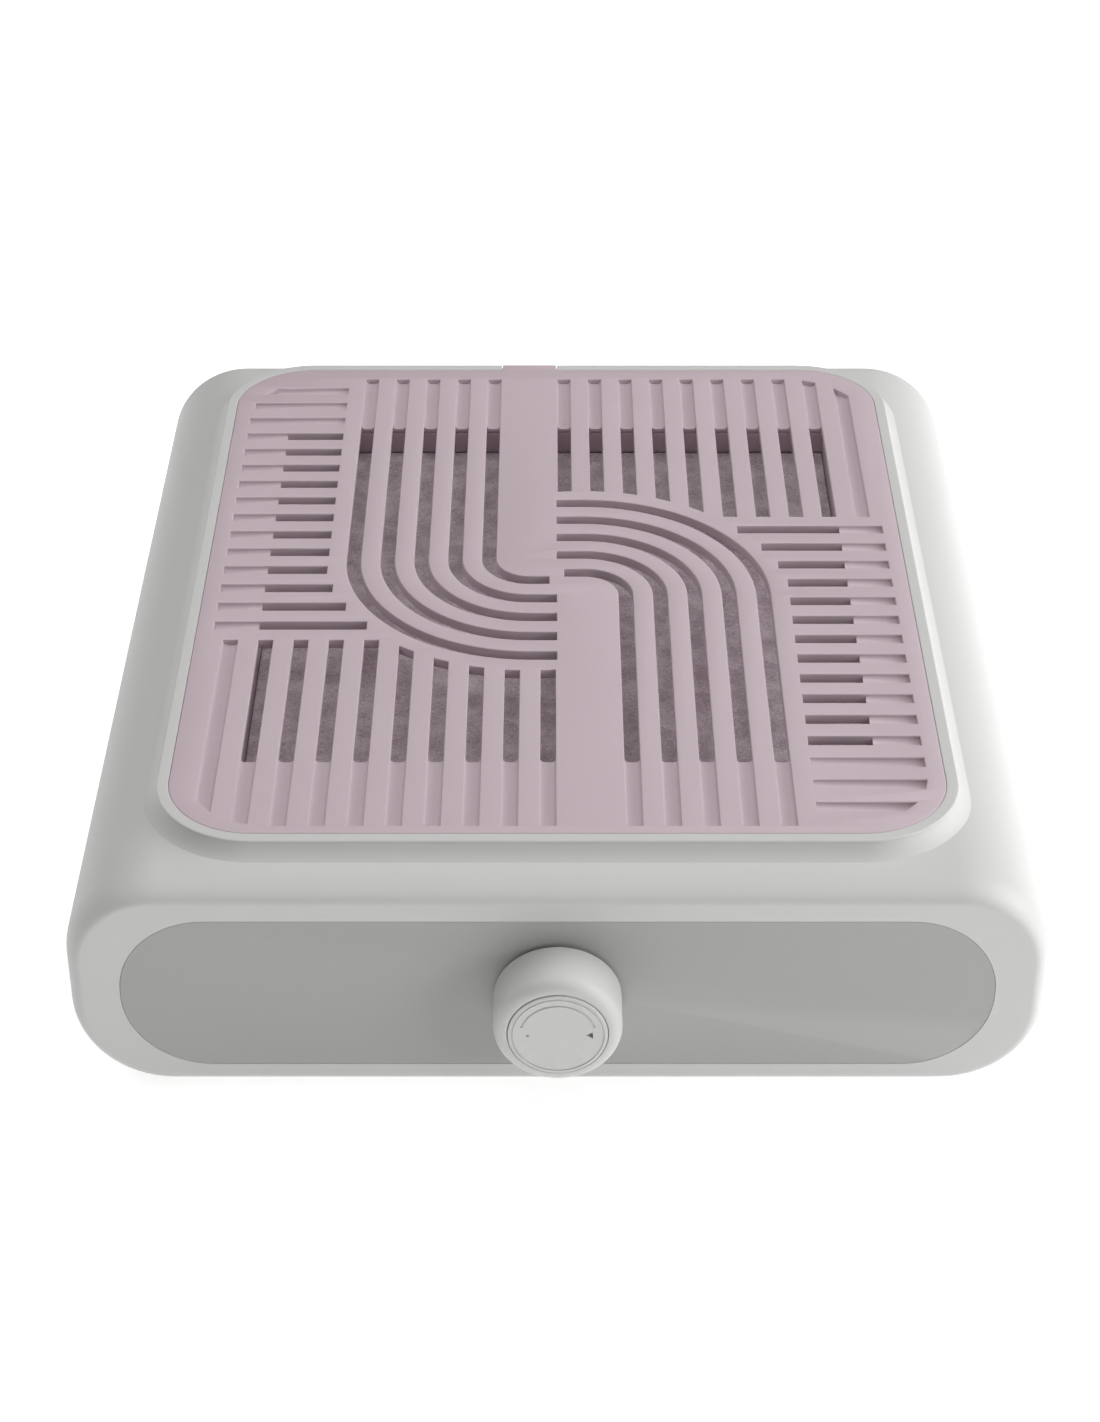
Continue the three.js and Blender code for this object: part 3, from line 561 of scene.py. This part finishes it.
def grille():
    halves = ([bent_slot(i) for i in range(1, 6)] + [front_slot(i) for i in range(10)]
              + [side_slot(i) for i in range(15)])
    slots = halves + [turned_round(points) for points in halves]
    piece = filled("slotted_hand_rest", [plate_outline()] + [on_plate(s) for s in slots],
                   TABLE_TOP - GRILLE_THICK, TABLE_TOP, 0.32 * MM)
    fillers = bpy.data.meshes.new("grooves")
    verts, faces = [], []
    for outline, direction in blind_parts():
        for points in (outline, turned_round(outline)):
            more_verts, more_faces = trough(on_plate(points), direction)
            faces += [tuple(i + len(verts) for i in face) for face in more_faces]
            verts += more_verts
    fillers.from_pydata(verts, [], faces)
    grooves = bpy.data.objects.new("grooves", fillers)
    bpy.context.scene.collection.objects.link(grooves)
    pick(grooves)
    bpy.ops.object.mode_set(mode="EDIT")
    bpy.ops.mesh.select_all(action="SELECT")
    bpy.ops.mesh.normals_make_consistent(inside=False)
    bpy.ops.object.mode_set(mode="OBJECT")
    skirt = block(-WINDOW_X - 1.6 * MM, WINDOW_X + 1.6 * MM,
                  GRILLE_CENTRE - WINDOW_Y - 1.6 * MM, GRILLE_CENTRE + WINDOW_Y + 1.6 * MM,
                  GRILLE_LOW.z - 0.2 * MM, TABLE_TOP - GRILLE_THICK)
    cut_with(skirt, block(-WINDOW_X, WINDOW_X, GRILLE_CENTRE - WINDOW_Y,
                          GRILLE_CENTRE + WINDOW_Y, 50 * MM, 80 * MM))
    joined(piece, grooves, skirt)
    return smooth(piece, 50, weighted=False)


# ---- filter ----------------------------------------------------------------------------------
def fleece():
    centre = (FLEECE_LOW + FLEECE_HIGH) / 2
    bpy.ops.mesh.primitive_cube_add(size=1, location=centre)
    bpy.context.active_object.scale = FLEECE_HIGH - FLEECE_LOW + Vector((0.5, 0.5, 0)) * MM
    piece = named("fleece_mat")
    soft_edges(piece, 0.3 * MM, 3)
    bpy.ops.object.mode_set(mode="EDIT")
    select_faces(piece, lambda face: face.normal.z > 0.99)
    bpy.ops.mesh.subdivide(number_cuts=70)
    bpy.ops.object.mode_set(mode="OBJECT")
    waves = bpy.data.textures.new("fleece_waves", "CLOUDS")
    waves.noise_scale = 9 * MM
    top = piece.vertex_groups.new(name="top")
    inner = [v.index for v in piece.data.vertices if v.co.z > FLEECE_HIGH.z - 0.05 * MM]
    top.add(inner, 1.0, "REPLACE")
    apply_modifier(piece, "DISPLACE", texture=waves, strength=0.5 * MM, mid_level=1.0,
                   vertex_group="top", direction="Z")
    return smooth(piece, 60, weighted=False)


# ---- knob ------------------------------------------------------------------------------------
def knob():
    front = -KNOB_LOW.y
    back = -KNOB_HIGH.y
    radius = KNOB_HIGH.x
    seat = CAP_HIGH.x + 0.14 * MM
    shoulder = 3.5 * MM
    rounding = [(radius - shoulder * (1 - math.sin(a)) * 0.93,
                 front - shoulder * (1 - math.cos(a)) - 0.15 * MM)
                for a in (math.pi / 2 * (1 - i / 10) for i in range(11))]
    profile = ([(0, front - 2.2 * MM), (seat, front - 2.2 * MM), (seat, front - 0.35 * MM),
                (seat + 0.15 * MM, front - 0.15 * MM)]
               + list(reversed(rounding))
               + [(radius, back + 0.5 * MM), (radius - 0.4 * MM, back), (9.5 * MM, back),
                  (9.5 * MM, back + 4.2 * MM), (3.1 * MM, back + 4.2 * MM),
                  (3.1 * MM, front - 4 * MM), (0, front - 4 * MM)])
    return smooth(turned("speed_knob", profile), 35)


def arc_groove(radius, start, end, width, y):
    """A thin bent rod to cut an arc in the cap's face."""
    count = max(8, int(abs(end - start) / 0.06))
    curve = bpy.data.curves.new("cutter", "CURVE")
    curve.dimensions = "3D"
    curve.bevel_depth = width / 2
    curve.bevel_resolution = 3
    curve.use_fill_caps = True
    spline = curve.splines.new("POLY")
    points = arc((0, KNOB_Z), radius, start, end, count)
    closed = abs(end - start) > 6.28
    if closed:
        points = points[:-1]
    spline.points.add(len(points) - 1)
    for point, (x, z) in zip(spline.points, points):
        point.co = (x, y, z, 1)
    spline.use_cyclic_u = closed
    piece = bpy.data.objects.new("cutter", curve)
    bpy.context.scene.collection.objects.link(piece)
    pick(piece)
    bpy.ops.object.convert(target="MESH")
    return bpy.context.active_object


def pointer_cutter(y):
    """A small triangle that marks the speed."""
    bpy.ops.mesh.primitive_cylinder_add(vertices=3, radius=1.25 * MM, depth=2 * MM,
                                        location=(8.2 * MM, y, KNOB_Z),
                                        rotation=(math.pi / 2, -math.pi / 2, 0))
    return named("cutter")


def knob_cap():
    front = -CAP_LOW.y
    back = -CAP_HIGH.y
    radius = CAP_HIGH.x
    profile = [(0, front), (radius - 0.4 * MM, front), (radius - 0.12 * MM, front - 0.12 * MM),
               (radius, front - 0.4 * MM), (radius, back), (0, back)]
    piece = turned("knob_disc", profile)
    cut_with(piece, arc_groove(11.5 * MM, 0, 2 * math.pi, 0.5 * MM, CAP_LOW.y),
             arc_groove(9.5 * MM, math.radians(16), math.radians(164), 0.6 * MM, CAP_LOW.y),
             pointer_cutter(CAP_LOW.y),
             drill(-7.6 * MM, CAP_LOW.y, KNOB_Z, 0.4 * MM, 0.6 * MM, "Y", 16))
    return smooth(piece, 30)


# ---- pieces carried over from the frame -------------------------------------------------------
def refined(node, width=0.25 * MM, angle=35):
    """A cleaned copy of a frame node with its edges broken."""
    source = NODES[node]
    mesh = source.data.copy()
    piece = bpy.data.objects.new(node + "_fine", mesh)
    bpy.context.scene.collection.objects.link(piece)
    pick(piece)
    bpy.ops.object.mode_set(mode="EDIT")
    bpy.ops.mesh.select_all(action="SELECT")
    bpy.ops.mesh.remove_doubles(threshold=2e-6)
    bpy.ops.mesh.dissolve_limited(angle_limit=math.radians(1))
    bpy.ops.object.mode_set(mode="OBJECT")
    soft_edges(piece, width, 2, angle)
    return smooth(piece, 35)


# ---- materials -------------------------------------------------------------------------------
def group_socket(group, name, kind, direction, value=None):
    socket = group.interface.new_socket(name, in_out=direction, socket_type=kind)
    if value is not None:
        socket.default_value = value
    return socket


def moulding_group():
    """Fine spark-eroded grain of a moulding: a height for bump, and a roughness shift."""
    group = bpy.data.node_groups.new("moulded_grain", "ShaderNodeTree")
    group_socket(group, "Grain Size", "NodeSocketFloat", "INPUT", 2600.0)
    group_socket(group, "Height", "NodeSocketFloat", "OUTPUT")
    group_socket(group, "Patch", "NodeSocketFloat", "OUTPUT")
    nodes, links = group.nodes, group.links
    source = nodes.new("NodeGroupInput")
    out = nodes.new("NodeGroupOutput")
    place = nodes.new("ShaderNodeTexCoord")
    grain = nodes.new("ShaderNodeTexNoise")
    grain.inputs["Detail"].default_value = 3.0
    grain.inputs["Roughness"].default_value = 0.6
    patch = nodes.new("ShaderNodeTexNoise")
    patch.inputs["Scale"].default_value = 24.0
    patch.inputs["Detail"].default_value = 4.0
    links.new(place.outputs["Object"], grain.inputs["Vector"])
    links.new(place.outputs["Object"], patch.inputs["Vector"])
    links.new(source.outputs["Grain Size"], grain.inputs["Scale"])
    links.new(grain.outputs["Fac"], out.inputs["Height"])
    links.new(patch.outputs["Fac"], out.inputs["Patch"])
    return group


def wear_and_highlight_group():
    """Settled dust on what faces up, and edges lightened both as rubbing wear and as a painted
    highlight.
    """
    group = bpy.data.node_groups.new("use_marks", "ShaderNodeTree")
    group_socket(group, "Colour", "NodeSocketColor", "INPUT")
    group_socket(group, "Dust", "NodeSocketFloat", "INPUT", 0.05)
    group_socket(group, "Rub and Highlight", "NodeSocketFloat", "INPUT", 0.1)
    group_socket(group, "Colour", "NodeSocketColor", "OUTPUT")
    nodes, links = group.nodes, group.links
    source = nodes.new("NodeGroupInput")
    out = nodes.new("NodeGroupOutput")
    place = nodes.new("ShaderNodeTexCoord")
    shape = nodes.new("ShaderNodeNewGeometry")
    split = nodes.new("ShaderNodeSeparateXYZ")
    links.new(shape.outputs["Normal"], split.inputs[0])
    cloud = nodes.new("ShaderNodeTexNoise")
    cloud.inputs["Scale"].default_value = 60.0
    cloud.inputs["Detail"].default_value = 6.0
    links.new(place.outputs["Object"], cloud.inputs["Vector"])
    upward = nodes.new("ShaderNodeMath")
    upward.operation = "MULTIPLY"
    upward.use_clamp = True
    links.new(split.outputs["Z"], upward.inputs[0])
    links.new(cloud.outputs["Fac"], upward.inputs[1])
    dusty = nodes.new("ShaderNodeMath")
    dusty.operation = "MULTIPLY"
    links.new(upward.outputs[0], dusty.inputs[0])
    links.new(source.outputs["Dust"], dusty.inputs[1])
    dust = nodes.new("ShaderNodeMix")
    dust.data_type = "RGBA"
    dust.inputs["B"].default_value = (0.82, 0.79, 0.78, 1)
    links.new(dusty.outputs[0], dust.inputs["Factor"])
    links.new(source.outputs["Colour"], dust.inputs["A"])
    # edges picked out by pointiness: lightened partly as rubbing wear, partly as a painted edge
    # highlight
    edge = nodes.new("ShaderNodeMapRange")
    edge.inputs["From Min"].default_value = 0.52
    edge.inputs["From Max"].default_value = 0.62
    links.new(shape.outputs["Pointiness"], edge.inputs["Value"])
    rub_and_highlight = nodes.new("ShaderNodeMath")
    rub_and_highlight.operation = "MULTIPLY"
    links.new(edge.outputs["Result"], rub_and_highlight.inputs[0])
    links.new(source.outputs["Rub and Highlight"], rub_and_highlight.inputs[1])
    worn_and_highlit = nodes.new("ShaderNodeMix")
    worn_and_highlit.data_type = "RGBA"
    # near-white that the edges are lightened towards: rubbed wear and painted highlight
    worn_and_highlit.inputs["B"].default_value = (0.9, 0.89, 0.88, 1)
    links.new(rub_and_highlight.outputs[0], worn_and_highlit.inputs["Factor"])
    links.new(dust.outputs["Result"], worn_and_highlit.inputs["A"])
    links.new(worn_and_highlit.outputs["Result"], out.inputs["Colour"])
    return group


GRAIN = moulding_group()
MARKS_AND_HIGHLIGHT = wear_and_highlight_group()


def tinted(name, light, dark, rough, metallic=0.0, grain=2600.0, bump=0.04, dust=0.05, rub_and_highlight=0.1,
           rough_span=0.08, sheen=0.0, coat=0.0):
    """A moulded or metal finish: two close tones in soft patches, grain, dust, and edges lightened
    both as rubbing wear and as a painted highlight.
    """
    material = bpy.data.materials.new(name)
    material.use_nodes = True
    nodes, links = material.node_tree.nodes, material.node_tree.links
    shader = nodes["Principled BSDF"]
    shader.inputs["Metallic"].default_value = metallic
    shader.inputs["Sheen Weight"].default_value = sheen
    shader.inputs["Coat Weight"].default_value = coat
    texture = nodes.new("ShaderNodeGroup")
    texture.node_tree = GRAIN
    texture.inputs["Grain Size"].default_value = grain
    tone = nodes.new("ShaderNodeMix")
    tone.data_type = "RGBA"
    tone.inputs["A"].default_value = (*dark, 1)
    tone.inputs["B"].default_value = (*light, 1)
    links.new(texture.outputs["Patch"], tone.inputs["Factor"])
    # dust on upward faces, and edges lightened as rubbing wear and as a painted highlight
    marks = nodes.new("ShaderNodeGroup")
    marks.node_tree = MARKS_AND_HIGHLIGHT
    marks.inputs["Dust"].default_value = dust
    marks.inputs["Rub and Highlight"].default_value = rub_and_highlight
    links.new(tone.outputs["Result"], marks.inputs["Colour"])
    links.new(marks.outputs["Colour"], shader.inputs["Base Color"])
    gloss = nodes.new("ShaderNodeMapRange")
    gloss.inputs["To Min"].default_value = rough - rough_span / 2
    gloss.inputs["To Max"].default_value = rough + rough_span / 2
    links.new(texture.outputs["Patch"], gloss.inputs["Value"])
    links.new(gloss.outputs["Result"], shader.inputs["Roughness"])
    relief = nodes.new("ShaderNodeBump")
    relief.inputs["Strength"].default_value = bump
    relief.inputs["Distance"].default_value = 0.0004
    links.new(texture.outputs["Height"], relief.inputs["Height"])
    links.new(relief.outputs["Normal"], shader.inputs["Normal"])
    return material


def fleece_material():
    """Non-woven fleece: matted fibres, mottled by the dust it has caught."""
    material = bpy.data.materials.new("dusty_fleece")
    material.use_nodes = True
    nodes, links = material.node_tree.nodes, material.node_tree.links
    shader = nodes["Principled BSDF"]
    shader.inputs["Roughness"].default_value = 0.95
    shader.inputs["Sheen Weight"].default_value = 0.3
    place = nodes.new("ShaderNodeTexCoord")
    fibres = nodes.new("ShaderNodeTexNoise")
    fibres.inputs["Scale"].default_value = 1400.0
    fibres.inputs["Detail"].default_value = 6.0
    fibres.inputs["Roughness"].default_value = 0.75
    fibres.inputs["Distortion"].default_value = 1.5
    mottle = nodes.new("ShaderNodeTexNoise")
    mottle.inputs["Scale"].default_value = 160.0
    mottle.inputs["Detail"].default_value = 5.0
    links.new(place.outputs["Object"], fibres.inputs["Vector"])
    links.new(place.outputs["Object"], mottle.inputs["Vector"])
    mix = nodes.new("ShaderNodeMath")
    mix.operation = "MULTIPLY_ADD"
    mix.inputs[1].default_value = 0.7
    links.new(fibres.outputs["Fac"], mix.inputs[0])
    part = nodes.new("ShaderNodeMath")
    part.operation = "MULTIPLY"
    part.inputs[1].default_value = 0.3
    links.new(mottle.outputs["Fac"], part.inputs[0])
    links.new(part.outputs[0], mix.inputs[2])
    ramp = nodes.new("ShaderNodeValToRGB")
    ramp.color_ramp.elements[0].position = 0.42
    ramp.color_ramp.elements[0].color = (0.50, 0.40, 0.44, 1)
    ramp.color_ramp.elements[1].position = 0.58
    ramp.color_ramp.elements[1].color = (0.97, 0.88, 0.92, 1)
    links.new(mix.outputs[0], ramp.inputs["Fac"])
    links.new(ramp.outputs["Color"], shader.inputs["Base Color"])
    relief = nodes.new("ShaderNodeBump")
    relief.inputs["Strength"].default_value = 0.6
    relief.inputs["Distance"].default_value = 0.0006
    links.new(mix.outputs[0], relief.inputs["Height"])
    links.new(relief.outputs["Normal"], shader.inputs["Normal"])
    return material


# each finish's rub value sets how far its edges are lightened: rubbing wear and a painted edge
# highlight
FINISHES = {
    "shell_grey": tinted("satin_shell", (0.585, 0.583, 0.575), (0.568, 0.566, 0.558), 0.5,
                         bump=0.03, dust=0.03, rub_and_highlight=0.05),
    "panel_grey": tinted("panel_film", (0.36, 0.358, 0.352), (0.35, 0.348, 0.342), 0.45,
                         grain=4000.0, bump=0.02, dust=0.0, rub_and_highlight=0.1),
    "lilac": tinted("dusty_lilac", (0.55, 0.449, 0.492), (0.535, 0.435, 0.477), 0.5,
                    bump=0.05, dust=0.05, rub_and_highlight=0.05),
    "fleece": fleece_material(),
    "filter_mauve": tinted("mauve_moulding", (0.27, 0.21, 0.235), (0.24, 0.18, 0.205), 0.6,
                           bump=0.08, dust=0.1),
    "filter_white": tinted("filter_paper", (0.8, 0.78, 0.75), (0.72, 0.7, 0.68), 0.8,
                           grain=900.0, bump=0.2, dust=0.3),
    "black_plastic": tinted("black_moulding", (0.035, 0.035, 0.038), (0.02, 0.02, 0.022), 0.5,
                            bump=0.15, dust=0.12, rub_and_highlight=0.1),
    "rubber": tinted("foot_rubber", (0.06, 0.06, 0.062), (0.04, 0.04, 0.042), 0.85,
                     grain=1500.0, bump=0.2, dust=0.15, rub_and_highlight=0.05),
    "foam": tinted("gasket_foam", (0.12, 0.12, 0.125), (0.08, 0.08, 0.085), 0.95,
                   grain=1200.0, bump=0.8, dust=0.1, rub_and_highlight=0.0),
    "steel": tinted("plated_steel", (0.66, 0.66, 0.66), (0.55, 0.55, 0.56), 0.32, metallic=1.0,
                    grain=1800.0, bump=0.06, dust=0.03, rub_and_highlight=0.2),
    "copper": tinted("enamelled_copper", (0.62, 0.28, 0.12), (0.5, 0.2, 0.08), 0.35,
                     metallic=1.0, grain=1200.0, bump=0.5, dust=0.03),
    "board_green": tinted("solder_resist", (0.03, 0.2, 0.08), (0.02, 0.13, 0.05), 0.35,
                          grain=600.0, bump=0.1, dust=0.1, coat=0.3),
}


def finish_with(piece, slot):
    piece.data.materials.clear()
    piece.data.materials.append(FINISHES[slot])
    return piece


SLOT_OF = {part["node"]: part["material_slot"] for part in frame["record"]["subparts"]}


def dress_frame():
    for name, node in NODES.items():
        if not node.material_slots:
            node.data.materials.append(None)
        for place in node.material_slots:
            place.material = FINISHES[SLOT_OF[name]]


def add(piece, body, slot, *nodes):
    finish_with(piece, slot)
    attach(piece, body)
    if nodes:
        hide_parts(*nodes)
    return piece


# ---- studio ----------------------------------------------------------------------------------
def studio():
    scene = bpy.context.scene
    scene.view_settings.view_transform = "Standard"
    world = bpy.data.worlds.new("studio")
    scene.world = world
    world.use_nodes = True
    backdrop = world.node_tree.nodes["Background"]
    backdrop.inputs["Color"].default_value = (1, 1, 1, 1)
    backdrop.inputs["Strength"].default_value = 0.02
    bpy.ops.mesh.primitive_plane_add(size=60, location=(0, 0, 0))
    floor = named("floor")
    pale = bpy.data.materials.new("pale_floor")
    pale.use_nodes = True
    shader = pale.node_tree.nodes["Principled BSDF"]
    shader.inputs["Base Color"].default_value = (0.9, 0.9, 0.9, 1)
    shader.inputs["Roughness"].default_value = 0.9
    shader.inputs["Emission Color"].default_value = (1, 1, 1, 1)
    shader.inputs["Emission Strength"].default_value = 0.53
    floor.data.materials.append(pale)


def area_light(name, place, target, size, energy):
    data = bpy.data.lights.new(name, "AREA")
    data.shape = "SQUARE"
    data.size = size
    data.energy = energy
    lamp = bpy.data.objects.new(name, data)
    bpy.context.scene.collection.objects.link(lamp)
    lamp.location = place
    lamp.rotation_euler = (Vector(target) - Vector(place)).to_track_quat("-Z", "Y").to_euler()


def camera():
    data = bpy.data.cameras.new("camera")
    data.lens = 73.6
    data.sensor_width = 36
    eye = bpy.data.objects.new("camera", data)
    bpy.context.scene.collection.objects.link(eye)
    eye.location = (-0.197 * PITCH, GRILLE_CENTRE - 72.34 * PITCH, TABLE_TOP + 45.10 * PITCH)
    eye.rotation_euler = (math.radians(90 - 34.60), 0, 0)
    bpy.context.scene.camera = eye


# ---- assembly --------------------------------------------------------------------------------
dress_frame()
camera()
studio()
area_light("key", (1.1, 0.1, 0.55), (0, 0, 0.04), 0.7, 9.5)
area_light("side_fill", (1.1, -0.8, 0.35), (0, 0, 0.04), 0.5, 4.9)
area_light("overhead", (0.0, 0.0, 1.3), (0, 0, 0.04), 2.2, 16.7)
area_light("left_fill", (-0.9, 0.5, 0.9), (0, 0, 0.04), 0.8, 3)

add(housing_body(), "housing", "shell_grey", "upper_housing")
add(housing_table(), "housing", "shell_grey")
add(front_panel(), "housing", "panel_grey", "front_panel")
add(grille(), "grille", "lilac", "grille_panel")
add(knob(), "knob", "shell_grey", "knob_body")
add(knob_cap(), "knob", "shell_grey", "knob_cap")
mat = add(fleece(), "filter", "fleece", "filter_fleece")

for node in ["base_plate", "filter_frame", "dc_socket", "dc_socket_nut"]:
    body = "filter" if node == "filter_frame" else "housing"
    add(refined(node), body, SLOT_OF[node], node)
for index in range(1, 5):
    node = f"rubber_foot_{index}"
    add(refined(node, 0.3 * MM), "housing", "rubber", node)
